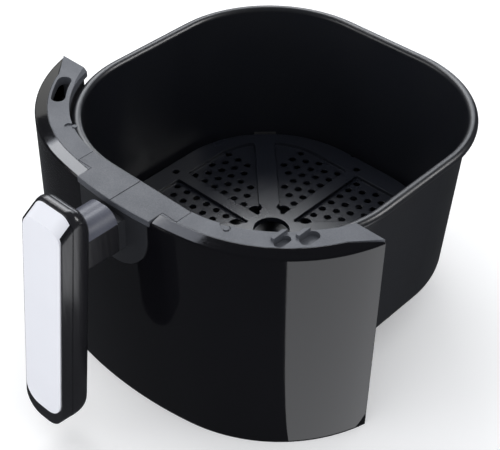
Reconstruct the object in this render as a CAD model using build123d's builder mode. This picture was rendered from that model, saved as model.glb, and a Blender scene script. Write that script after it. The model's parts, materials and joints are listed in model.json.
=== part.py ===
from build123d import *
import os
from math import cos, radians, sin, sqrt

# Drawer of a basket air fryer: coated pan, lift-out tray, curved front and handle.
# Millimetres. +Z up, +Y towards the back of the drawer, the handle points to -Y.
# The origin is the centre of the pan's flat underside.

# --- Driving dimensions: pan -------------------------------------------------
rim_half_width = 110.0        # over the rolled rim, left to right
rim_half_depth = 111.8        # over the rolled rim, front to back
rim_corner = 80.0             # plan radius of the rim's corners
roll_radius = 3.2             # outer radius of the rolled rim
sheet = 1.2                   # pan sheet thickness
pan_height = 112.0            # underside to rim top
pan_draft = 1.8               # how much narrower the wall is at the foot, each side
foot_corner = 84.0            # plan radius of the wall's corners at the foot
foot_fillet = 9.0             # rounding between wall and floor

# --- Driving dimensions: curved front ---------------------------------------
front_half_width = 133.0
front_y = -134.8              # foremost point of the front surface
front_arc = 260.0             # large plan radius across the middle
side_arc = 101.0              # plan radius round the two sides
front_end_y = -58.0           # the front stops at this plane on both sides
front_bottom = -28.0
bezel_top = 118.0
shell_wall = 2.6
bevel_width = 7.6             # glossy shoulder round the matte top
bevel_drop = 1.6
liner_inset = 16.6            # outer face of the inner liner, in from the front surface
liner_wall = 2.2
bezel_height = 5.6

# --- Driving dimensions: handle ----------------------------------------------
plate_half_width = 39.2       # bracket cover, wide part
plate_neck_half = 28.4        # bracket cover, part that crosses the shoulder
plate_step_y = -123.4
tongue_half = 26.6
tongue_bottom = 76.0
tongue_proud = 0.6            # how far the tongue plate stands off the front surface
tongue_recess = 1.6           # depth of its seat in the front
collar_length = 5.4           # throat between the tongue plate and the neck
neck_half = 12.0
neck_top = 118.6
neck_bottom = 89.5
grip_lean = 6.0               # degrees, the grip's foot stands further out
grip_origin = (0.0, -174.3, 128.4)   # middle of the grip's top, on its seam
grip_length = 139.0
grip_half_width = 16.0
grip_front_depth = 8.2
grip_rear_depth = 13.0
grip_crown = 6.8              # the grip's top rises this much from the faceplate to the seam
grip_wall = 2.4

# --- Driving dimensions: tray ---------------------------------------------
tray_top = 14.0
tray_sheet = 1.2
tray_edge_gap = 3.6           # tray edge to pan wall
recess_half_width = 82.5
recess_corner = 50.0
recess_depth = 2.6
axis_rib = 9.0                # width of the four ribs along X and Y
corner_rib = 14.0             # width of the four ribs towards the corners
hub_radius = 17.5
hub_hole = 12.0
medium_hole = 4.5
small_hole = 2.4
hole_pitch = 8.9

fit_gap = 0.3                 # clearance between neighbouring mouldings
os.makedirs("parts", exist_ok=True)

# Ways to place a block on its origin
on_foot = (Align.CENTER, Align.CENTER, Align.MIN)
hanging = (Align.CENTER, Align.CENTER, Align.MAX)


def keep(piece, name):
    """Label a finished sub-part and write its STEP file."""
    piece.part.label = name
    export_step(piece.part, f"parts/{name}.step")


def rounded(half_x, half_y, corner, height):
    """Rounded rectangle about the pan's axis, lying at the given height."""
    with BuildSketch(Plane.XY.offset(height)) as sketch:
        RectangleRounded(2 * half_x, 2 * half_y, corner)
    return sketch.sketch


# Centre of the side arc on the right and the direction where it meets the front arc
side_x = front_half_width - side_arc
tilt_sin = side_x / (front_arc - side_arc)
tilt_cos = sqrt(1 - tilt_sin ** 2)
side_y = front_y + front_arc - (front_arc - side_arc) * tilt_cos


def side_reach(inset, y):
    """Half width of the front at a given y, moved in by inset."""
    return side_x + sqrt((side_arc - inset) ** 2 - (y - side_y) ** 2)


def front_region(inset, height=0.0, end_y=front_end_y):
    """Area behind the front surface, moved in by inset, closed along end_y."""
    radius = side_arc - inset
    end_x = side_reach(inset, end_y)
    join = (side_x + radius * tilt_sin, side_y - radius * tilt_cos)
    middle = (side_x + radius * sin(radians(45)), side_y - radius * cos(radians(45)))
    with BuildSketch(Plane.XY.offset(height)) as sketch:
        with BuildLine():
            ThreePointArc((end_x, end_y), middle, join)
            ThreePointArc(join, (0, front_y + inset), (-join[0], join[1]))
            ThreePointArc((-join[0], join[1]), (-middle[0], middle[1]), (-end_x, end_y))
            Line((-end_x, end_y), (end_x, end_y))
        make_face()
    return sketch.sketch


def band(outer_inset, inner_inset, low, high, end_y=front_end_y):
    """Upright strip that follows the front between two insets."""
    with BuildPart() as strip:
        extrude(front_region(outer_inset, low, end_y), high - low)
        extrude(front_region(inner_inset, low, front_end_y), high - low, mode=Mode.SUBTRACT)
    return strip.part


def front_point(inset, degrees):
    """Point on the front's side arc (plan), degrees from straight ahead, right side positive."""
    angle = radians(abs(degrees))
    x = side_x + (side_arc - inset) * sin(angle)
    y = side_y - (side_arc - inset) * cos(angle)
    return (x if degrees > 0 else -x, y)


def front_locations(inset, angles, height):
    """Places along the front at one height, turned to face outwards."""
    return [Location((*front_point(inset, angle), height), (0, 0, angle)) for angle in angles]


def radial_location(inset, angle, height, tilt):
    """Place on the front whose own Z axis is tipped to point along the front's normal."""
    return Location((*front_point(inset, angle), height), (0, 0, angle)) * Location((0, 0, 0), (tilt, 0, 0))


def screw_shape(head_radius, head_height, shank_radius, shank_length):
    """Pan-head screw along +Z with its head's underside at the origin plane."""
    with BuildPart() as screw:
        with Locations((0, 0, -head_height)):
            Cylinder(head_radius, head_height, align=on_foot)
        fillet(screw.edges().filter_by(GeomType.CIRCLE).sort_by(Axis.Z)[:1], head_height * 0.45)
        Cylinder(shank_radius, shank_length, align=on_foot)
        with Locations((0, 0, -head_height)):
            Box(head_radius * 1.3, 0.7, 0.9, align=on_foot, mode=Mode.SUBTRACT)
            Box(0.7, head_radius * 1.3, 0.9, align=on_foot, mode=Mode.SUBTRACT)
    return screw.part


# --- Pan ----------------------------------------------------------------------
roll_half_width = rim_half_width - roll_radius
roll_half_depth = rim_half_depth - roll_radius
roll_corner = rim_corner - roll_radius
roll_height = pan_height - roll_radius
wall_top_width = roll_half_width - roll_radius + sheet
wall_top_depth = roll_half_depth - roll_radius + sheet
wall_top_corner = roll_corner - roll_radius + sheet


def pan_body(inward, floor):
    """Tapered vessel, moved in by inward, from floor height up to the roll's centre."""
    with BuildPart() as body:
        add(rounded(wall_top_width - pan_draft - inward, wall_top_depth - pan_draft - inward,
                    foot_corner - inward, floor))
        add(rounded(wall_top_width - inward, wall_top_depth - inward, wall_top_corner - inward, roll_height))
        loft(ruled=True)
        fillet(body.faces().sort_by(Axis.Z)[0].edges(), foot_fillet - inward)
    return body.part


with BuildPart() as rolled_rim:
    with BuildLine(Plane.XY.offset(roll_height)):
        straight_x = roll_half_width - roll_corner
        straight_y = roll_half_depth - roll_corner
        Line((roll_half_width, 0), (roll_half_width, straight_y))
        CenterArc((straight_x, straight_y), roll_corner, 0, 90)
        Line((straight_x, roll_half_depth), (-straight_x, roll_half_depth))
        CenterArc((-straight_x, straight_y), roll_corner, 90, 90)
        Line((-roll_half_width, straight_y), (-roll_half_width, -straight_y))
        CenterArc((-straight_x, -straight_y), roll_corner, 180, 90)
        Line((-straight_x, -roll_half_depth), (straight_x, -roll_half_depth))
        CenterArc((straight_x, -straight_y), roll_corner, 270, 90)
        Line((roll_half_width, -straight_y), (roll_half_width, 0))
    with BuildSketch(Plane((roll_half_width, 0, roll_height), x_dir=(1, 0, 0), z_dir=(0, -1, 0))):
        Circle(roll_radius)
        Circle(roll_radius - sheet, mode=Mode.SUBTRACT)
        with Locations((-roll_radius / 2, -roll_radius)):
            Rectangle(roll_radius, roll_radius * 1.2, mode=Mode.SUBTRACT)
    sweep()

with BuildPart() as pan:
    add(pan_body(0.0, 0.0))
    add(pan_body(sheet, sheet), mode=Mode.SUBTRACT)
    add(rolled_rim.part)
keep(pan, "pan")

# --- Lift-out tray --------------------------------------------------------------
tray_level = tray_top / roll_height
tray_half_width = wall_top_width - pan_draft * (1 - tray_level) - sheet - tray_edge_gap
tray_half_depth = tray_half_width + rim_half_depth - rim_half_width
tray_corner = foot_corner - sheet - tray_edge_gap
tray_skirt = 6.0
recess_half_depth = recess_half_width + rim_half_depth - rim_half_width
recess_floor = tray_top - recess_depth


def octant_holes():
    """Small holes of one eighth of the tray, staggered columns between two ribs."""
    spots = []
    for column in range(5):
        x = axis_rib / 2 + 4.2 + column * hole_pitch * 0.95
        for row in range(6):
            y = 33 + (row + 0.5 * (column % 2)) * hole_pitch * 1.04
            clear_of_rib = (y - x) / sqrt(2) > corner_rib / 2 + 3.4
            clear_of_edge = y < recess_half_width - 3.2
            inside_corner = sqrt(x ** 2 + y ** 2) < recess_half_width + 8
            if clear_of_rib and clear_of_edge and inside_corner:
                spots.append((x, y))
    return spots


all_holes = []
for spot_x, spot_y in octant_holes():
    for flip_x in (1, -1):
        for flip_y in (1, -1):
            all_holes.append((flip_x * spot_x, flip_y * spot_y))
            all_holes.append((flip_x * spot_y, flip_y * spot_x))

with BuildPart() as sectors:
    extrude(rounded(recess_half_width, recess_half_depth, recess_corner, recess_floor), recess_depth + 1)
    with Locations((0, 0, tray_top)):
        Cylinder(hub_radius, 4 * recess_depth, mode=Mode.SUBTRACT)
        for turn, width in ((0, axis_rib), (90, axis_rib), (45, corner_rib), (135, corner_rib)):
            Box(4 * recess_half_width, width, 4 * recess_depth, rotation=(0, 0, turn), mode=Mode.SUBTRACT)
    outer_corners = [edge for edge in sectors.edges().filter_by(Axis.Z) if edge.center().length > 60]
    fillet(outer_corners, 2.0)

with BuildPart() as tray:
    extrude(rounded(tray_half_width, tray_half_depth, tray_corner, tray_top - tray_skirt), tray_skirt)
    fillet(tray.faces().sort_by(Axis.Z)[-1].edges(), 1.0)
    extrude(rounded(tray_half_width - tray_sheet, tray_half_depth - tray_sheet, tray_corner - tray_sheet,
                    tray_top - tray_skirt), tray_skirt - tray_sheet, mode=Mode.SUBTRACT)
    # underside of the recessed field and the four pressed feet
    extrude(rounded(recess_half_width + tray_sheet, recess_half_depth + tray_sheet,
                    recess_corner + tray_sheet, recess_floor - tray_sheet), recess_depth + tray_sheet / 2)
    foot_height = recess_floor - sheet
    with BuildSketch(Plane.XY.offset(sheet)):
        with PolarLocations(recess_half_width - 16, 4, start_angle=45):
            Circle(4.0)
    extrude(amount=foot_height)
    add(sectors.part, mode=Mode.SUBTRACT)
    with BuildSketch(Plane.XY.offset(recess_floor - 2 * tray_sheet)):
        with Locations(*all_holes):
            Circle(small_hole)
        with PolarLocations(25.0, 8, start_angle=22.5):
            Circle(medium_hole)
        Circle(hub_hole)
        with PolarLocations(recess_half_width + 7, 4):
            Circle(small_hole)
    extrude(amount=2 * tray_skirt, mode=Mode.SUBTRACT)
keep(tray, "crisper_tray")

# Silicone clips on the tray's four corners, they keep it centred in the pan
bumper_reach = 0.3            # bumper to pan wall
with BuildPart() as bumpers:
    for turn in (45, 135, 225, 315):
        corner_x = (tray_half_width - tray_corner) * (1 if turn in (45, 315) else -1)
        corner_y = (tray_half_depth - tray_corner) * (1 if turn in (45, 135) else -1)
        with Locations(Location((corner_x, corner_y, tray_top - tray_skirt - 1.5), (0, 0, turn))):
            with Locations((tray_corner + 1.0, 0, 0)):
                Box(2 * tray_edge_gap - 1.4, 16, tray_skirt + 0.7, align=on_foot)
    # touching clearance round the tray
    extrude(rounded(tray_half_width + 0.02, tray_half_depth + 0.02, tray_corner + 0.02,
                    tray_top - tray_skirt - 0.02), 2 * tray_skirt, mode=Mode.SUBTRACT)
    reach = tray_edge_gap - bumper_reach
    extrude(rounded(tray_half_width + reach, tray_half_depth + reach, tray_corner + reach,
                    tray_top - 2 * tray_skirt), 4 * tray_skirt, mode=Mode.INTERSECT)
keep(bumpers, "tray_bumpers")

# --- Curved front: glossy outer shell ---------------------------------------------
bezel_low = bezel_top - bezel_height
return_inner = liner_inset + 1.7        # the shell's end returns reach in this far
return_top = bezel_low - 0.2
window_half = 9.5
window_low = 98.4
window_high = 108.8
shoulder_z = bezel_top - bevel_drop
shoulder_thick = 2.6
end_screw_heights = (-14.0, 40.0, 92.0)
flange_x = (side_reach(liner_inset, front_end_y) + side_reach(shell_wall, front_end_y)) / 2
end_screw_spots = [(side * flange_x, height) for side in (1, -1) for height in end_screw_heights]
boss_places = ((-15, 88), (15, 88))     # x and z of the tongue plate's two bosses
tail_screw_y = -121.0                   # screw between the neck's tail and the bracket
below_shoulder = shoulder_z - shoulder_thick
cover_thick = 3.7
ear_thick = 2.4
tongue_top = bezel_top - cover_thick - 0.2
ear_angle = 63                          # from here the bezel widens to the shell's outer edge


def tongue_block(grow, proud, depth, top):
    """U-shaped block that follows the front, from proud of its surface to a depth inside it."""
    half = tongue_half + grow
    low = tongue_bottom - grow
    with BuildPart() as block:
        with BuildSketch(Plane.XZ.offset(-front_y - 6)):
            with BuildLine():
                Polyline((-half, low + half), (-half, top), (half, top), (half, low + half))
                ThreePointArc((half, low + half), (0, low), (-half, low + half))
            make_face()
        extrude(amount=12)
        add(band(-proud, depth, low - 5, top + 5), mode=Mode.INTERSECT)
    return block.part


def bezel_ears(tip_inset, degrees, low, height):
    """Wedges at both ends where the bezel takes over the shoulder's width."""
    root = front_point(bevel_width, degrees)
    tip_x = side_reach(tip_inset, front_end_y)
    back_x = side_reach(bevel_width + 4, front_end_y)
    with BuildPart() as ears:
        with BuildSketch(Plane.XY.offset(low)):
            with BuildLine():
                Polyline(root, (tip_x, front_end_y), (back_x, front_end_y), (root[0] - 4, root[1]),
                         close=True)
            make_face()
            mirror(about=Plane.YZ)
        extrude(amount=height)
    return ears.part


with BuildPart() as shell:
    extrude(front_region(0, front_bottom), shoulder_z - front_bottom)
    shoulder_edges = [front_region(0, shoulder_z).faces()[0], front_region(bevel_width, bezel_top).faces()[0]]
    loft(shoulder_edges, ruled=True)
    fillet(shell.edges().filter_by(GeomType.CIRCLE).group_by(Axis.Z)[-2], 1.2)
    extrude(front_region(shell_wall, front_bottom - 1, front_end_y - shell_wall),
            below_shoulder - front_bottom + 1, mode=Mode.SUBTRACT)
    extrude(front_region(bevel_width, return_top), 2 * bezel_height, mode=Mode.SUBTRACT)
    extrude(front_region(return_inner, front_bottom - 1), 2 * pan_height, mode=Mode.SUBTRACT)
    add(bezel_ears(0.4, ear_angle - 1, bezel_top - ear_thick - 0.2, bezel_height), mode=Mode.SUBTRACT)
    add(tongue_block(fit_gap, 3.0, tongue_recess, bezel_top), mode=Mode.SUBTRACT)
    # notch for the bracket cover and window for the bracket
    with Locations((0, front_y, bezel_top - 4.0)):
        Box(2 * (plate_neck_half + fit_gap), 60, 20, align=on_foot,
            mode=Mode.SUBTRACT)
    with Locations((0, front_y, window_low)):
        Box(2 * window_half, 30, window_high - window_low, align=on_foot,
            mode=Mode.SUBTRACT)
    # holes for the tongue plate's bosses and the screws at both ends
    for boss_x, boss_z in boss_places:
        with Locations(Location((boss_x, front_y, boss_z), (90, 0, 0))):
            Cylinder(3.3, 20, mode=Mode.SUBTRACT)
    for spot_x, spot_z in end_screw_spots:
        with Locations(Location((spot_x, front_end_y, spot_z), (90, 0, 0))):
            Cylinder(1.7, 12, mode=Mode.SUBTRACT)
keep(shell, "front_shell")

# --- Curved front: matte inner liner ----------------------------------------------
liner_end_y = front_end_y - shell_wall - fit_gap
liner_top = bezel_low - 0.2
post_angles = (-64, -39, -24, 24, 41, 60)     # bezel posts, degrees from straight ahead
post_inset = 12.4
shelf_top = 101.6
shelf_thick = 2.4
foot_screw_angles = (-60, -25, 25, 60)
side_bracket_angles = (-45, 45)
side_bracket_z = 74.0


with BuildPart() as liner:
    add(band(liner_inset, liner_inset + liner_wall, front_bottom + shell_wall, liner_top, liner_end_y))
    # shelves that carry the bezel's screws
    with Locations(*front_locations(post_inset + 1.5, post_angles, shelf_top)):
        Box(11, 2 * (liner_inset - post_inset) + 0.6, shelf_thick, align=hanging)
    # blocks for the bottom cover's screws
    with Locations(*front_locations(liner_inset - 3.0, foot_screw_angles, front_bottom + 5.6)):
        Box(10, 7.4, 12, align=on_foot)
    # end flanges behind the shell's returns
    flange_in = side_reach(liner_inset + 0.5, liner_end_y - liner_wall)
    flange_out = side_reach(shell_wall + 0.4, liner_end_y - liner_wall)
    flange_mid = (flange_in + flange_out) / 2
    with Locations((flange_mid, liner_end_y, 36.5), (-flange_mid, liner_end_y, 36.5)):
        Box(flange_out - flange_in, liner_wall, 116, align=(Align.CENTER, Align.MAX, Align.CENTER))
    with Locations((0, front_y + liner_inset, window_low)):
        Box(2 * window_half, 14, window_high - window_low, align=on_foot,
            mode=Mode.SUBTRACT)
    extrude(front_region(liner_inset + liner_wall, front_bottom - 1), 2 * pan_height, mode=Mode.SUBTRACT)
    with Locations(*front_locations(post_inset, post_angles, shelf_top)):
        Cylinder(1.7, 12, mode=Mode.SUBTRACT)
    with Locations(*front_locations(liner_inset - 3.4, foot_screw_angles, front_bottom + 5.6)):
        Cylinder(1.3, 20, mode=Mode.SUBTRACT)
    for spot_x, spot_z in end_screw_spots:
        with Locations(Location((spot_x, liner_end_y, spot_z), (90, 0, 0))):
            Cylinder(1.3, 12, mode=Mode.SUBTRACT)
    for angle in side_bracket_angles:
        with Locations(radial_location(liner_inset, angle, side_bracket_z, 90)):
            Cylinder(1.7, 12, mode=Mode.SUBTRACT)
keep(liner, "inner_liner")

# Screws through the shell's end returns into the liner
with BuildPart() as liner_screws:
    for spot_x, spot_z in end_screw_spots:
        with Locations(Location((spot_x, front_end_y, spot_z), (90, 0, 0))):
            add(screw_shape(3.0, 1.8, 1.25, 6.0))
keep(liner_screws, "liner_screws")

# Plate that closes the space between shell and liner at the bottom
with BuildPart() as bottom_cover:
    add(band(shell_wall + fit_gap, liner_inset - fit_gap, front_bottom + shell_wall, front_bottom + 5.2,
             liner_end_y))
    with Locations(*front_locations(liner_inset - 3.4, foot_screw_angles, front_bottom + 4)):
        Cylinder(1.7, 12, mode=Mode.SUBTRACT)
keep(bottom_cover, "bottom_cover")

with BuildPart() as bottom_screws:
    with Locations(*front_locations(liner_inset - 3.4, foot_screw_angles, front_bottom + shell_wall)):
        add(screw_shape(3.0, 1.8, 1.25, 10.0))
keep(bottom_screws, "bottom_screws")

# --- Curved front: matte bezel round the rim --------------------------------------
rim_gap = 0.8
notch_z = bezel_top - 3.9
pocket_places = ((90.4, -96.4, 6.0, 11.0), (99.0, -84.4, 7.5, 13.0))   # x, y, width, length
ridge_height = 2.0
ridge_width = 2.2


with BuildPart() as bezel:
    extrude(front_region(bevel_width + 0.2, bezel_low), bezel_height)
    add(bezel_ears(0.8, ear_angle, bezel_top - ear_thick, ear_thick))
    with Locations(*front_locations(post_inset, post_angles, bezel_low)):
        Cylinder(3.4, bezel_low - shelf_top - 0.1, align=hanging)
    # ridges on the right that reach over the rim
    for pocket_x, pocket_y, width, length in pocket_places:
        with Locations((pocket_x - width / 2 - ridge_width / 2, pocket_y + 2.0, bezel_low + 0.8)):
            Box(ridge_width, length, bezel_height + ridge_height - 0.8,
                align=on_foot)
    extrude(rounded(rim_half_width + rim_gap, rim_half_depth + rim_gap, rim_corner + rim_gap, bezel_low - 20),
            2 * pan_height, mode=Mode.SUBTRACT)
    for side in (1, -1):
        with Locations((side * 33, -24, bezel_top - 6)):
            Cone(76, 83.4, 6.01, align=on_foot, mode=Mode.SUBTRACT)
    for pocket_x, pocket_y, width, length in pocket_places:
        with BuildSketch(Plane.XY.offset(bezel_top - 3.0)):
            with Locations((pocket_x, pocket_y)):
                SlotOverall(length, width, rotation=90)
        extrude(amount=10, mode=Mode.SUBTRACT)
    # long slot on the left
    slot_radius = side_arc - 13.7
    with BuildSketch(Plane.XY.offset(bezel_low - 1)):
        with BuildLine() as slot_line:
            CenterArc((-side_x, side_y), slot_radius, 211.6, 12.2)
        SlotArc(slot_line.edges()[0], 8.6)
    extrude(amount=2 * bezel_height, mode=Mode.SUBTRACT)
    # shallow seats beside the rim
    for seat_x, seat_y, turn in ((-67, -104.6, 35), (60.6, -108.4, -30)):
        with BuildSketch(Plane.XY.offset(bezel_top - 1.0)):
            with Locations((seat_x, seat_y)):
                SlotOverall(8.4, 4.8, rotation=turn)
        extrude(amount=4, mode=Mode.SUBTRACT)
        with Locations((seat_x + 1.6, seat_y + 1.0 * (1 if turn > 0 else -1), bezel_top - 1.2)):
            Cylinder(1.5, 1.4, align=on_foot)
    # T-shaped notch for the bracket cover, with holes for its hooks and the handle screws
    with BuildSketch(Plane.XY.offset(notch_z)):
        with Locations((0, plate_step_y - fit_gap)):
            Rectangle(2 * (plate_half_width + fit_gap), 40, align=(Align.CENTER, Align.MIN))
            Rectangle(2 * (plate_neck_half + fit_gap), 40, align=(Align.CENTER, Align.MAX))
    extrude(amount=10, mode=Mode.SUBTRACT)
    with Locations((30, -118, notch_z), (-30, -118, notch_z)):
        Box(7, 3, 10, mode=Mode.SUBTRACT)
    with Locations((0, tail_screw_y, notch_z)):
        Cylinder(3.6, 10, mode=Mode.SUBTRACT)
    with Locations(*front_locations(post_inset, post_angles, shelf_top)):
        Cylinder(1.3, 18, mode=Mode.SUBTRACT)
keep(bezel, "top_bezel")

with BuildPart() as bezel_screws:
    with Locations(*front_locations(post_inset, post_angles, shelf_top - shelf_thick)):
        add(screw_shape(3.0, 1.8, 1.25, 9.0))
keep(bezel_screws, "bezel_screws")

# --- Handle: T-shaped bracket cover ------------------------------------------------
with BuildPart() as bracket_cover:
    with BuildSketch(Plane.XY.offset(bezel_top - cover_thick)):
        inner_y = -rim_half_depth - rim_gap
        with Locations((0, (inner_y + plate_step_y) / 2)):
            Rectangle(2 * plate_half_width, inner_y - plate_step_y)
        with Locations((0, plate_step_y)):
            Rectangle(2 * plate_neck_half, 30, align=(Align.CENTER, Align.MAX))
    extrude(amount=cover_thick)
    extrude(front_region(-tongue_proud, bezel_top - 10), 20, mode=Mode.INTERSECT)
    fillet(bracket_cover.edges().filter_by(GeomType.CIRCLE).sort_by(Axis.Z)[-1:], 0.5)
    with Locations((0, -120, bezel_top)):
        Box(0.5, 40, 0.8, mode=Mode.SUBTRACT)
    # two hooks that snap into the bezel's notch
    with Locations((30, -118, bezel_top - cover_thick), (-30, -118, bezel_top - cover_thick)):
        Box(6, 2, 4, align=hanging)
keep(bracket_cover, "bracket_cover")

# --- Handle: U-shaped tongue plate on the front --------------------------------------
neck_start = front_y - tongue_proud - collar_length - 0.3
with BuildPart() as tongue:
    add(tongue_block(0.0, tongue_proud, tongue_recess - 0.15, tongue_top))
    for boss_x, boss_z in boss_places:
        with Locations(Location((boss_x, front_y + 0.3, boss_z), (90, 0, 0))):
            Cylinder(3.0, 4.1, align=hanging)
    for boss_x, boss_z in boss_places:
        with Locations(Location((boss_x, front_y + 0.8, boss_z), (90, 0, 0))):
            Cylinder(1.3, 8, align=hanging, mode=Mode.SUBTRACT)
    # throat that the bracket passes through, narrower than the neck
    with Locations((0, neck_start + 0.3, neck_bottom + 1.2)):
        Box(2 * (neck_half - 1.2), collar_length + 1.5, window_high + 1.6 - neck_bottom - 1.2,
            align=(Align.CENTER, Align.MIN, Align.MIN))
    with Locations((0, front_y, window_low)):
        Box(2 * window_half, 20, window_high - window_low, align=on_foot,
            mode=Mode.SUBTRACT)
keep(tongue, "tongue_plate")

boss_end = front_y + 4.4
with BuildPart() as tongue_screws:
    for boss_x, boss_z in boss_places:
        with Locations(Location((boss_x, boss_end + 0.01, boss_z), (90, 0, 0))):
            add(screw_shape(3.8, 1.8, 1.25, 3.4))
keep(tongue_screws, "tongue_screws")

# --- Handle: grip ------------------------------------------------------------------
lean_sin = sin(radians(grip_lean))
lean_cos = cos(radians(grip_lean))
grip_plane = Plane(origin=grip_origin, x_dir=(1, 0, 0), z_dir=(0, -lean_cos, lean_sin))


def grip_outline(depth, side_in=0.0, foot_in=0.0, top_in=0.0, top_corner=8.0, foot_corner_in=13.0):
    """The grip's front view as a face, at a depth along the grip's own axis."""
    half = grip_half_width - side_in
    foot = -grip_length + foot_in
    with BuildSketch(grip_plane.offset(depth)) as outline:
        with BuildLine():
            Line((-half + top_corner, -top_in), (half - top_corner, -top_in))
            RadiusArc((half - top_corner, -top_in), (half, -top_in - top_corner), top_corner)
            Line((half, -top_in - top_corner), (half, foot + foot_corner_in))
            RadiusArc((half, foot + foot_corner_in), (half - foot_corner_in, foot), foot_corner_in)
            Line((half - foot_corner_in, foot), (-half + foot_corner_in, foot))
            RadiusArc((-half + foot_corner_in, foot), (-half, foot + foot_corner_in), foot_corner_in)
            Line((-half, foot + foot_corner_in), (-half, -top_in - top_corner))
            RadiusArc((-half, -top_in - top_corner), (-half + top_corner, -top_in), top_corner)
        make_face()
    return outline.sketch


def grip_slant(low, high, side_in, foot_in, inward, foot_corner_in):
    """Front part of the grip between two depths, its top falls towards the faceplate."""
    with BuildPart() as slanted:
        for depth in (low, high):
            add(grip_outline(depth, side_in, foot_in, inward - grip_crown * (1 - depth / grip_front_depth),
                             8.0, foot_corner_in))
        loft(ruled=True)
    return slanted.part


face_side = 1.2
face_foot = 9.0
face_thick = 1.2
front_skin = grip_front_depth - face_thick - 0.15
arm_low = 100.0
arm_thick = 3.0
grip_screw_places = (-14.0, -118.0)

# Silvery faceplate, bent over the grip's top
with BuildPart() as faceplate:
    add(grip_slant(0.3, grip_front_depth, face_side, face_foot, 0.0, 11.0))
    add(grip_slant(-1.0, front_skin + 0.15, face_side - 1, -1.0, face_thick, 11.0), mode=Mode.SUBTRACT)
keep(faceplate, "grip_faceplate")

# Room that the faceplate takes up in the front half
with BuildPart() as face_seat:
    extrude(grip_outline(-1.0, face_side - 0.15, face_foot - 0.15, -20.0, 8.0, 11.0), 20)
    add(grip_slant(-2.0, front_skin, face_side - 1, -1.0, face_thick + 0.15, 11.0), mode=Mode.SUBTRACT)

# Front half of the grip, dark, with a seat for the faceplate
with BuildPart() as grip_front:
    add(grip_slant(0.15, front_skin + face_thick * 0.5, 0.0, 0.0, 0.0, 13.0))
    add(face_seat.part, mode=Mode.SUBTRACT)
    extrude(grip_outline(-1.0, side_in=grip_wall, foot_in=grip_wall, top_in=grip_wall + 1.4, top_corner=5.6,
                         foot_corner_in=10.6), front_skin - 1.4, mode=Mode.SUBTRACT)
    with BuildSketch(grip_plane.offset(0.15)):
        with Locations(*[(0, place) for place in grip_screw_places]):
            Circle(4.0)
    extrude(amount=front_skin - 1.0)
    with BuildSketch(grip_plane.offset(-1)):
        with Locations(*[(0, place) for place in grip_screw_places]):
            Circle(1.6)
    extrude(amount=20, mode=Mode.SUBTRACT)
    with BuildSketch(grip_plane.offset(front_skin - 2.0)):
        with Locations(*[(0, place) for place in grip_screw_places]):
            Circle(3.2)
    extrude(amount=5, mode=Mode.SUBTRACT)
keep(grip_front, "grip_front_shell")

# Rear half of the grip
arm_local_y = (arm_low + arm_thick / 2 - grip_origin[2]) / lean_cos + 1.0
with BuildPart() as grip_rear:
    for share, edge_in, top_in in ((0, 0, 0), (0.38, 0, -1.2), (0.74, 0.7, 1.6), (1, 3.4, 8.0)):
        depth = -0.15 - share * (grip_rear_depth - 0.15)
        add(grip_outline(depth, edge_in, edge_in, top_in - grip_crown))
    loft()
    extrude(grip_outline(-grip_rear_depth + grip_wall, side_in=grip_wall, foot_in=grip_wall, top_in=grip_wall,
                         top_corner=5.6, foot_corner_in=10.6), grip_rear_depth, mode=Mode.SUBTRACT)
    with BuildSketch(grip_plane.offset(-grip_rear_depth + 1.0)):
        with Locations(*[(0, place) for place in grip_screw_places]):
            Circle(3.6)
    extrude(amount=grip_rear_depth - 1.3)
    with BuildSketch(grip_plane.offset(-grip_rear_depth + 2.0)):
        with Locations(*[(0, place) for place in grip_screw_places]):
            Circle(1.3)
    extrude(amount=20, mode=Mode.SUBTRACT)
    with BuildSketch(grip_plane.offset(-grip_rear_depth - 1)):
        with Locations((0, arm_local_y)):
            Rectangle(2 * (window_half - 0.9), arm_thick + 2.4)
    extrude(amount=8, mode=Mode.SUBTRACT)
keep(grip_rear, "grip_rear_shell")

with BuildPart() as grip_screws:
    for place in grip_screw_places:
        spot = grip_plane.offset(front_skin - 2.0).location * Location((0, place, 0), (180, 0, 0))
        with Locations(spot):
            add(screw_shape(3.0, 1.7, 1.25, 9.5))
keep(grip_screws, "grip_screws")

# --- Handle: neck between the front and the grip --------------------------------------
neck_split = 111.0
neck_wall = 2.4
end_wall = 2.0
rear_face = grip_plane.offset(-grip_rear_depth - 0.3)


def neck_outline(shrink=0.0, start=neck_start):
    """Cross-section of the neck: flat sides, crowned top, rounded underside."""
    half = neck_half - shrink
    low = neck_bottom + shrink
    crown = neck_top - shrink
    haunch = neck_split + (crown - neck_split) * 0.66
    with BuildSketch(Plane.XZ.offset(-start)) as outline:
        with BuildLine():
            Line((-half + 4, low), (half - 4, low))
            RadiusArc((half - 4, low), (half, low + 4), -4)
            Line((half, low + 4), (half, neck_split))
            ThreePointArc((half, neck_split), (half * 0.78, haunch), (0, crown))
            ThreePointArc((0, crown), (-half * 0.78, haunch), (-half, neck_split))
            Line((-half, neck_split), (-half, low + 4))
            RadiusArc((-half, low + 4), (-half + 4, low), -4)
        make_face()
    return outline.sketch


# Closed towards the front, open towards the grip
with BuildPart() as neck_tube:
    extrude(neck_outline(), 40)
    extrude(neck_outline(neck_wall, neck_start - end_wall), 40, mode=Mode.SUBTRACT)
    split(bisect_by=rear_face, keep=Keep.BOTTOM)

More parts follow.
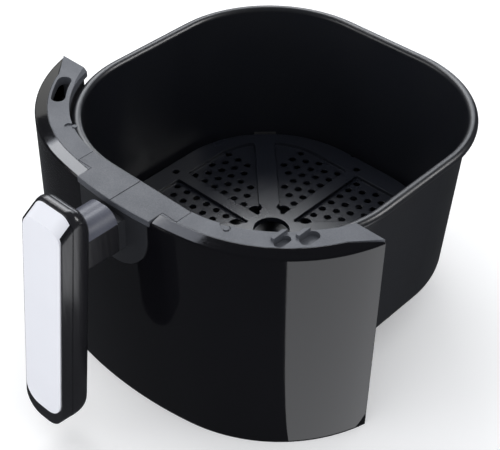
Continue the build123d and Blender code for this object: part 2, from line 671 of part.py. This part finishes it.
with BuildPart() as neck_shell:
    add(neck_tube.part)
    split(bisect_by=Plane.XY.offset(neck_split - 0.15), keep=Keep.BOTTOM)
    with Locations((0, neck_start, arm_low - 0.15)):
        Box(17, 10, arm_thick + 0.3, align=on_foot, mode=Mode.SUBTRACT)
    # tail that passes through the front's window and is screwed to the bracket
    tail_low = arm_low + arm_thick + 0.15
    tail_thick = 3.6
    with Locations((0, neck_start - 6, tail_low)):
        Box(2 * (window_half - 0.5), 30, tail_thick, align=(Align.CENTER, Align.MIN, Align.MIN))
    with Locations((0, tail_screw_y, tail_low)):
        Cylinder(1.8, 20, mode=Mode.SUBTRACT)
keep(neck_shell, "neck_shell")

with BuildPart() as neck_cover:
    add(neck_tube.part)
    split(bisect_by=Plane.XY.offset(neck_split + 0.15), keep=Keep.TOP)
keep(neck_cover, "neck_cover")

# --- Steel bracket inside: pan wall to grip --------------------------------------------
bracket_back = -wall_top_depth - 0.3
bracket_sheet = 2.0
stud_places = ((-17, 72), (17, 72), (-17, 92), (17, 92))   # x and z
tab_depth = -4.6
with BuildPart() as bracket:
    with BuildSketch(Plane.XZ.offset(-bracket_back)):
        with Locations((0, 62)):
            RectangleRounded(50, 2 * 20, 5)
        with Locations((0, 60)):
            Rectangle(50, 40)
        with Locations((0, 90)):
            Rectangle(16, 2 * (arm_low + arm_thick - 90))
    extrude(amount=bracket_sheet)
    with Locations((0, bracket_back, arm_low)):
        Box(16, -bracket_back - grip_origin[1] - 3, arm_thick, align=(Align.CENTER, Align.MAX, Align.MIN))
    split(bisect_by=grip_plane.offset(tab_depth + arm_thick), keep=Keep.BOTTOM)
    with BuildSketch(grip_plane.offset(tab_depth)):
        with Locations((0, arm_local_y + 1.5)):
            Rectangle(14, 60, align=(Align.CENTER, Align.MAX))
    extrude(amount=arm_thick)
    with Locations(*[Location((x, bracket_back, z), (90, 0, 0)) for x, z in stud_places]):
        Cylinder(2.6, 20, mode=Mode.SUBTRACT)
    with Locations((0, tail_screw_y, arm_low)):
        Cylinder(1.3, 20, mode=Mode.SUBTRACT)
keep(bracket, "handle_bracket")

with BuildPart() as studs:
    with Locations(*[Location((x, -wall_top_depth + 1.0, z), (90, 0, 0)) for x, z in stud_places]):
        Cylinder(2.4, 7.8, align=on_foot)
keep(studs, "pan_studs")

with BuildPart() as nuts:
    with BuildSketch(Plane.XZ.offset(-bracket_back + bracket_sheet + 0.05)):
        with Locations(*stud_places):
            RegularPolygon(4.2, 6)
            Circle(2.45, mode=Mode.SUBTRACT)
    extrude(amount=3.0)
keep(nuts, "bracket_nuts")

with BuildPart() as handle_screws:
    with Locations(Location((0, tail_screw_y, tail_low + tail_thick), (180, 0, 0))):
        add(screw_shape(3.0, 1.7, 1.25, 7.5))
keep(handle_screws, "handle_screw")

# --- Steel clips welded to the pan's corners, the liner is screwed to them ----------------
clip_width = 18.0
clip_height = 26.0
clip_sheet = 1.5
with BuildPart() as side_brackets:
    for angle in side_bracket_angles:
        clip_x, clip_y = front_point(liner_inset + liner_wall + 0.1, angle)
        with Locations(Location((clip_x, clip_y, side_bracket_z), (0, 0, angle))):
            with Locations((0, clip_sheet / 2, 0)):
                Box(clip_width, clip_sheet, clip_height)
            with Locations((0, 3.9, clip_height / 2 - clip_sheet / 2)):
                Box(clip_width, 7.8, clip_sheet)
            with Locations((0, 7.1, 0)):
                Box(clip_width, 1.4, clip_height)
    extrude(front_region(liner_inset + liner_wall + 0.1, 0), pan_height, mode=Mode.INTERSECT)
    extrude(rounded(wall_top_width - 1.4, wall_top_depth - 1.4, foot_corner - 7.5, 0), pan_height,
            mode=Mode.SUBTRACT)
    for angle in side_bracket_angles:
        with Locations(radial_location(liner_inset, angle, side_bracket_z, 90)):
            Cylinder(1.3, 16, mode=Mode.SUBTRACT)
keep(side_brackets, "side_brackets")

with BuildPart() as side_bracket_screws:
    for angle in side_bracket_angles:
        with Locations(radial_location(liner_inset, angle, side_bracket_z, -90)):
            add(screw_shape(3.0, 1.7, 1.25, 6.0))
keep(side_bracket_screws, "side_bracket_screws")
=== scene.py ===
import bpy
import json
import math
from mathutils import Matrix, Vector


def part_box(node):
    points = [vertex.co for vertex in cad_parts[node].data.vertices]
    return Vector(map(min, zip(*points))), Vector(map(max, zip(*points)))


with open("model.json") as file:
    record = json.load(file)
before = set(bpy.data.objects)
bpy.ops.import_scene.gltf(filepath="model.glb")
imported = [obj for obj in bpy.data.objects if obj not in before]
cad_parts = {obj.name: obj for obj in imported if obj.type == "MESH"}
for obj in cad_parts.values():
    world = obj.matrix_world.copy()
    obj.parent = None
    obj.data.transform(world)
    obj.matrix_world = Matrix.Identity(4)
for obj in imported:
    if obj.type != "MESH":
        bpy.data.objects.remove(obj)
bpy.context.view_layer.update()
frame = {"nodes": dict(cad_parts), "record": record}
scene = bpy.context.scene

MM = 0.001

# The object rests on its lowest point, the lower edge of the curved front.
FLOOR_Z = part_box("front_shell")[0].z


# --- Node helpers ---------------------------------------------------------------
class Shader:
    """A Principled material with short calls for the nodes that feed it.

    The colour and roughness given at the start hold wherever no node feeds them.
    """

    def __init__(self, name, base, roughness, specular=0.5, metallic=0.0, coat=0.0, coat_roughness=0.1):
        self.material = bpy.data.materials.new(name)
        self.material.use_nodes = True
        self.tree = self.material.node_tree
        self.main = self.tree.nodes["Principled BSDF"]
        self.main.inputs["Base Color"].default_value = (*base, 1)
        self.main.inputs["Roughness"].default_value = roughness
        self.main.inputs["Specular IOR Level"].default_value = specular
        self.main.inputs["Metallic"].default_value = metallic
        self.main.inputs["Coat Weight"].default_value = coat
        self.main.inputs["Coat Roughness"].default_value = coat_roughness
        self.coords = self.tree.nodes.new("ShaderNodeTexCoord").outputs["Object"]
        self.normal = None

    def stretched(self, scale):
        """Object coordinates, stretched by a factor along each axis."""
        node = self.tree.nodes.new("ShaderNodeMapping")
        node.inputs["Scale"].default_value = scale
        self.tree.links.new(self.coords, node.inputs["Vector"])
        return node.outputs["Vector"]

    def noise(self, scale, detail=2.0, roughness=0.5, stretch=None):
        """Fractal noise, scale in cycles per metre."""
        node = self.tree.nodes.new("ShaderNodeTexNoise")
        node.inputs["Scale"].default_value = scale
        node.inputs["Detail"].default_value = detail
        node.inputs["Roughness"].default_value = roughness
        vector = self.stretched(stretch) if stretch else self.coords
        self.tree.links.new(vector, node.inputs["Vector"])
        return node.outputs["Fac"]

    def cells(self, scale):
        """Distance to the nearest of scattered points, scale in cells per metre."""
        node = self.tree.nodes.new("ShaderNodeTexVoronoi")
        node.inputs["Scale"].default_value = scale
        self.tree.links.new(self.coords, node.inputs["Vector"])
        return node.outputs["Distance"]

    def remap(self, value, source, target):
        """Carries a value from the source range to the target range and holds it at the ends."""
        node = self.tree.nodes.new("ShaderNodeMapRange")
        node.inputs["From Min"].default_value = source[0]
        node.inputs["From Max"].default_value = source[1]
        node.inputs["To Min"].default_value = target[0]
        node.inputs["To Max"].default_value = target[1]
        self.tree.links.new(value, node.inputs["Value"])
        return node.outputs["Result"]

    def blend_colours(self, factor, first, second):
        """Base colour that goes from first to second as factor goes from 0 to 1."""
        node = self.tree.nodes.new("ShaderNodeMix")
        node.data_type = "RGBA"
        node.inputs["A"].default_value = (*first, 1)
        node.inputs["B"].default_value = (*second, 1)
        self.tree.links.new(factor, node.inputs["Factor"])
        self.tree.links.new(node.outputs["Result"], self.main.inputs["Base Color"])

    def vary_roughness(self, value, source, target):
        """Roughness that follows a value, carried from the source range to the target range."""
        self.tree.links.new(self.remap(value, source, target), self.main.inputs["Roughness"])

    def soften_edges(self, radius):
        """Rounds hard edges in the shading only, by a radius in metres."""
        node = self.tree.nodes.new("ShaderNodeBevel")
        node.samples = 4
        node.inputs["Radius"].default_value = radius
        self.normal = node.outputs["Normal"]
        self.tree.links.new(self.normal, self.main.inputs["Normal"])

    def bump(self, height, distance, strength):
        """Adds relief on top of what is there, distance in metres."""
        node = self.tree.nodes.new("ShaderNodeBump")
        node.inputs["Distance"].default_value = distance
        node.inputs["Strength"].default_value = strength
        self.tree.links.new(height, node.inputs["Height"])
        if self.normal:
            self.tree.links.new(self.normal, node.inputs["Normal"])
        self.normal = node.outputs["Normal"]
        self.tree.links.new(self.normal, self.main.inputs["Normal"])


# --- Materials ------------------------------------------------------------------
# Most of a noise's values lie in this range.
NOISE_RANGE = (0.3, 0.7)

# Grains per metre of a spark-eroded mould
GRAIN = 1700

# The pale grains of both greys, of the bezel and of its cover
GREY_GRAINS = (0.100, 0.107, 0.124)


def coated_steel(name, base, fleck, roughness, edge=0.3):
    """Non-stick coating: blue-black satin with fine pale flecks and a light orange peel."""
    made = Shader(name, base, roughness, specular=0.75)
    made.soften_edges(edge * MM)
    flecks = made.remap(made.cells(1400), (0.10, 0.26), (1.0, 0.0))
    made.blend_colours(flecks, base, fleck)
    made.vary_roughness(made.noise(26, detail=3), NOISE_RANGE, (roughness - 0.05, roughness + 0.05))
    made.bump(made.noise(1500), distance=0.05 * MM, strength=0.5)
    made.bump(made.noise(160), distance=0.10 * MM, strength=0.35)
    return made.material


def gloss_black():
    """Piano-black moulding: deep, mirror-like, with faint flow waves and hairline wiping marks."""
    made = Shader("gloss_black", (0.006, 0.006, 0.008), roughness=0.07)
    made.soften_edges(0.5 * MM)
    wiping = made.noise(900, detail=3, roughness=0.6, stretch=(1, 1, 0.08))
    made.vary_roughness(wiping, (0.4, 0.75), (0.05, 0.11))
    made.blend_colours(made.noise(11, detail=3), (0.0022, 0.0022, 0.003), (0.0045, 0.0045, 0.006))
    made.bump(made.noise(18, detail=1), distance=0.10 * MM, strength=0.25)
    return made.material


def spark_eroded(name, base, grains, roughness, edge=0.4):
    """Matte moulding with the fine sandy texture of a spark-eroded mould."""
    made = Shader(name, base, roughness, specular=0.4)
    made.soften_edges(edge * MM)
    speckle = made.remap(made.noise(GRAIN, detail=4, roughness=0.7), (0.38, 0.66), (0.0, 1.0))
    made.blend_colours(speckle, base, grains)
    made.vary_roughness(made.noise(60, detail=3), NOISE_RANGE, (roughness - 0.06, roughness + 0.06))
    made.bump(made.noise(GRAIN, detail=3, roughness=0.7), distance=0.06 * MM, strength=0.6)
    return made.material


def satin_black():
    """Smooth black moulding of the grip, with a faint haze and wiping marks along it."""
    made = Shader("satin_black", (0.012, 0.012, 0.014), roughness=0.2, specular=0.55)
    made.soften_edges(0.6 * MM)
    made.blend_colours(made.noise(40, detail=3), (0.010, 0.010, 0.012), (0.017, 0.017, 0.020))
    wiping = made.noise(700, detail=3, roughness=0.6, stretch=(1, 1, 0.06))
    made.vary_roughness(wiping, (0.35, 0.7), (0.16, 0.26))
    made.bump(made.noise(1300), distance=0.01 * MM, strength=0.3)
    return made.material


def silver_plate():
    """Pearl-silver lacquer with a very faint cloud and a clear coat."""
    made = Shader("silver_plate", (0.75, 0.76, 0.81), roughness=0.34, coat=0.3, coat_roughness=0.12)
    made.blend_colours(made.noise(30, detail=1), (0.73, 0.74, 0.79), (0.77, 0.78, 0.83))
    made.vary_roughness(made.noise(60, detail=1), NOISE_RANGE, (0.31, 0.37))
    return made.material


def silicone():
    """Matte silicone with a dusty bloom."""
    made = Shader("silicone", (0.022, 0.022, 0.024), roughness=0.72, specular=0.3)
    made.blend_colours(made.noise(300, detail=4), (0.016, 0.016, 0.018), (0.034, 0.034, 0.036))
    made.bump(made.noise(900), distance=0.05 * MM, strength=0.4)
    return made.material


def zinc_steel():
    """Bright zinc plating with a cloudy, slightly brushed surface."""
    made = Shader("zinc_steel", (0.55, 0.55, 0.56), roughness=0.3, metallic=1.0)
    made.soften_edges(0.2 * MM)
    cloud = made.noise(180, detail=4, roughness=0.6)
    made.blend_colours(cloud, (0.42, 0.42, 0.44), (0.66, 0.66, 0.65))
    made.vary_roughness(cloud, NOISE_RANGE, (0.22, 0.42))
    brushed = made.noise(1800, roughness=0.6, stretch=(1, 1, 0.1))
    made.bump(brushed, distance=0.02 * MM, strength=0.4)
    return made.material


MATERIALS = {
    "coated_steel": coated_steel(
        "coated_steel", base=(0.009, 0.010, 0.014), fleck=(0.034, 0.037, 0.046), roughness=0.34
    ),
    "tray_coating": coated_steel(
        "tray_coating",
        base=(0.012, 0.014, 0.021),
        fleck=(0.042, 0.047, 0.062),
        roughness=0.30,
        edge=0.8,
    ),
    "gloss_black": gloss_black(),
    "satin_black": satin_black(),
    "matte_black": spark_eroded(
        "matte_black", base=(0.018, 0.018, 0.021), grains=(0.034, 0.034, 0.038), roughness=0.55
    ),
    "matte_grey": spark_eroded(
        "matte_grey", base=(0.068, 0.073, 0.087), grains=GREY_GRAINS, roughness=0.5
    ),
    "cover_grey": spark_eroded(
        "cover_grey", base=(0.056, 0.060, 0.072), grains=GREY_GRAINS, roughness=0.5
    ),
    "dark_grey": spark_eroded(
        "dark_grey", base=(0.019, 0.020, 0.024), grains=(0.032, 0.034, 0.040), roughness=0.42
    ),
    "neck_grey": spark_eroded(
        "neck_grey", base=(0.075, 0.08, 0.105), grains=(0.11, 0.115, 0.145), roughness=0.34, edge=0.9
    ),
    "silver_plate": silver_plate(),
    "silicone": silicone(),
    "zinc_steel": zinc_steel(),
}

# Nodes whose finish differs from the rest of their slot
OWN_FINISH = {
    "crisper_tray": "tray_coating",
    "grip_front_shell": "satin_black",
    "grip_rear_shell": "satin_black",
    "bracket_cover": "cover_grey",
    "neck_shell": "satin_black",
}


def dress_nodes():
    """Gives each CAD node its own finish, or the one of its slot in the record."""
    for entry in frame["record"]["subparts"]:
        finish = OWN_FINISH.get(entry["node"], entry["material_slot"])
        slots = frame["nodes"][entry["node"]].data.materials
        slots.clear()
        slots.append(MATERIALS[finish])


dress_nodes()


# --- Stage ------------------------------------------------------------------------
WHITE = (1, 1, 1)
WARM_WHITE = (1.0, 1.0, 0.97)
COOL_WHITE = (0.96, 0.97, 1.0)
SKY_WHITE = (0.90, 0.94, 1.0)
BACK_WHITE = (0.90, 0.93, 1.0)
STRIPE_BLUE = (0.84, 0.89, 1.0)
CARD_BLUE = (0.84, 0.88, 1.0)

FLOOR_HALF_SIZE = 6.0
FLOOR_GLOW = 0.18
SURROUNDINGS_SEEN = 0.95
SURROUNDINGS_MIRRORED = 0.07

# Middle of the object, where the softboxes point
AIM = Vector((0, 0, 0.06))


def build_floor():
    """Large pale floor that lights the object softly and isn't mirrored in its gloss."""
    half = FLOOR_HALF_SIZE
    mesh = bpy.data.meshes.new("floor")
    corners = [(x * half, y * half, FLOOR_Z) for x, y in ((-1, -1), (1, -1), (1, 1), (-1, 1))]
    mesh.from_pydata(corners, [], [(0, 1, 2, 3)])
    floor = bpy.data.objects.new("floor", mesh)
    scene.collection.objects.link(floor)
    paint = Shader("floor_paint", (0.88, 0.88, 0.88), roughness=0.8, specular=0.1)
    paint.blend_colours(paint.noise(3), (0.9, 0.9, 0.905), (0.93, 0.93, 0.935))
    paint.main.inputs["Emission Color"].default_value = (*WHITE, 1)
    paint.main.inputs["Emission Strength"].default_value = FLOOR_GLOW
    mesh.materials.append(paint.material)
    floor.visible_glossy = False


def build_world():
    """White surroundings for the eye and soft light, much dimmer ones in reflections."""
    world = bpy.data.worlds.new("studio")
    scene.world = world
    world.use_nodes = True
    tree = world.node_tree
    soft = tree.nodes["Background"]
    soft.inputs["Color"].default_value = (0.97, 0.98, 1.0, 1)
    soft.inputs["Strength"].default_value = SURROUNDINGS_SEEN
    mirrored = tree.nodes.new("ShaderNodeBackground")
    mirrored.inputs["Color"].default_value = (*SKY_WHITE, 1)
    mirrored.inputs["Strength"].default_value = SURROUNDINGS_MIRRORED
    path = tree.nodes.new("ShaderNodeLightPath")
    mix = tree.nodes.new("ShaderNodeMixShader")
    tree.links.new(path.outputs["Is Glossy Ray"], mix.inputs["Fac"])
    tree.links.new(soft.outputs["Background"], mix.inputs[1])
    tree.links.new(mirrored.outputs["Background"], mix.inputs[2])
    tree.links.new(mix.outputs["Shader"], tree.nodes["World Output"].inputs["Surface"])


def direction(azimuth, elevation):
    """Unit vector from the object towards a compass bearing, 0 is -Y and 90 is +X."""
    a = math.radians(azimuth)
    e = math.radians(elevation)
    return Vector((math.sin(a) * math.cos(e), -math.cos(a) * math.cos(e), math.sin(e)))


def area_light(name, width, height, radiance, colour):
    """Rectangular light, its brightness given as radiance."""
    data = bpy.data.lights.new(name, "AREA")
    data.shape = "RECTANGLE"
    data.size = width
    data.size_y = height
    data.energy = radiance * math.pi * width * height
    data.color = colour
    lamp = bpy.data.objects.new(name, data)
    scene.collection.objects.link(lamp)
    return lamp


def softbox(name, azimuth, elevation, distance, size, radiance, colour=WHITE, gloss_only=False):
    """Softbox aimed at the object; one for gloss only is mirrored but lights no matte face."""
    width, height = size
    lamp = area_light(name, width, height, radiance, colour)
    away = direction(azimuth, elevation)
    lamp.location = AIM + away * distance
    lamp.rotation_mode = "QUATERNION"
    lamp.rotation_quaternion = away.to_track_quat("Z", "Y")
    lamp.visible_diffuse = not gloss_only


def floor_card():
    """Low light on the floor to the right, seen only as the pale reflection in the gloss."""
    along = Vector((0.70, -0.714, 0))
    across = Vector((0.714, 0.70, 0))
    near_corner = Vector((0.098, -0.093, FLOOR_Z + 1 * MM))
    length = 0.26
    width = 0.34
    lamp = area_light("floor_card", length, width, radiance=1.5, colour=COOL_WHITE)
    middle = near_corner + along * length / 2 + across * width / 2
    turn = Matrix((along, across, along.cross(across))).transposed().to_4x4()
    face_up = Matrix.Rotation(math.pi, 4, "X")
    lamp.matrix_world = Matrix.Translation(middle) @ turn @ face_up
    lamp.visible_camera = False
    lamp.visible_diffuse = False


build_floor()
build_world()
softbox("key", -112, 50, 1.6, (1.3, 0.5), 4.2)
softbox("front_fill", -35, 14, 1.6, (0.9, 0.7), 2.3)
softbox("bevel_stripe", -104, 44, 2.6, (0.55, 0.40), 3.9, STRIPE_BLUE, gloss_only=True)
softbox("low_card", -109, 24, 2.6, (1.3, 0.75), 1.0, WARM_WHITE, gloss_only=True)
softbox("blue_card", -110, 58, 2.6, (0.7, 0.40), 3.0, CARD_BLUE, gloss_only=True)
softbox("back_card", -150, 8, 2.6, (1.2, 0.7), 3.2, BACK_WHITE, gloss_only=True)
softbox("edge_strip", 131, 30, 2.0, (0.32, 1.0), 12.0, gloss_only=True)
softbox("sky_card", -142, 44, 1.8, (1.5, 0.9), 3.0, SKY_WHITE, gloss_only=True)
floor_card()


# --- Camera -----------------------------------------------------------------------
CAMERA_PLACE = (0.3972, -0.4639, 0.5330)
CAMERA_AZIMUTH = 41.904
CAMERA_ELEVATION = 40.196
CAMERA_ROLL = 1.234
LENS_MM = 87.32
SENSOR_MM = 36.0
NEAR_CLIP = 0.01


def build_camera():
    """Camera that looks down on the object's front right, as in the photograph."""
    data = bpy.data.cameras.new("camera")
    data.sensor_width = SENSOR_MM
    data.lens = LENS_MM
    data.clip_start = NEAR_CLIP
    camera = bpy.data.objects.new("camera", data)
    scene.collection.objects.link(camera)
    back = direction(CAMERA_AZIMUTH, CAMERA_ELEVATION)
    roll = math.radians(CAMERA_ROLL)
    level_right = Vector((-back.y, back.x, 0)).normalized()
    level_up = back.cross(level_right)
    right = level_right * math.cos(roll) + level_up * math.sin(roll)
    up = back.cross(right)
    turn = Matrix((right, up, back)).transposed().to_4x4()
    camera.matrix_world = Matrix.Translation(CAMERA_PLACE) @ turn
    scene.camera = camera


build_camera()
scene.view_settings.view_transform = "Standard"
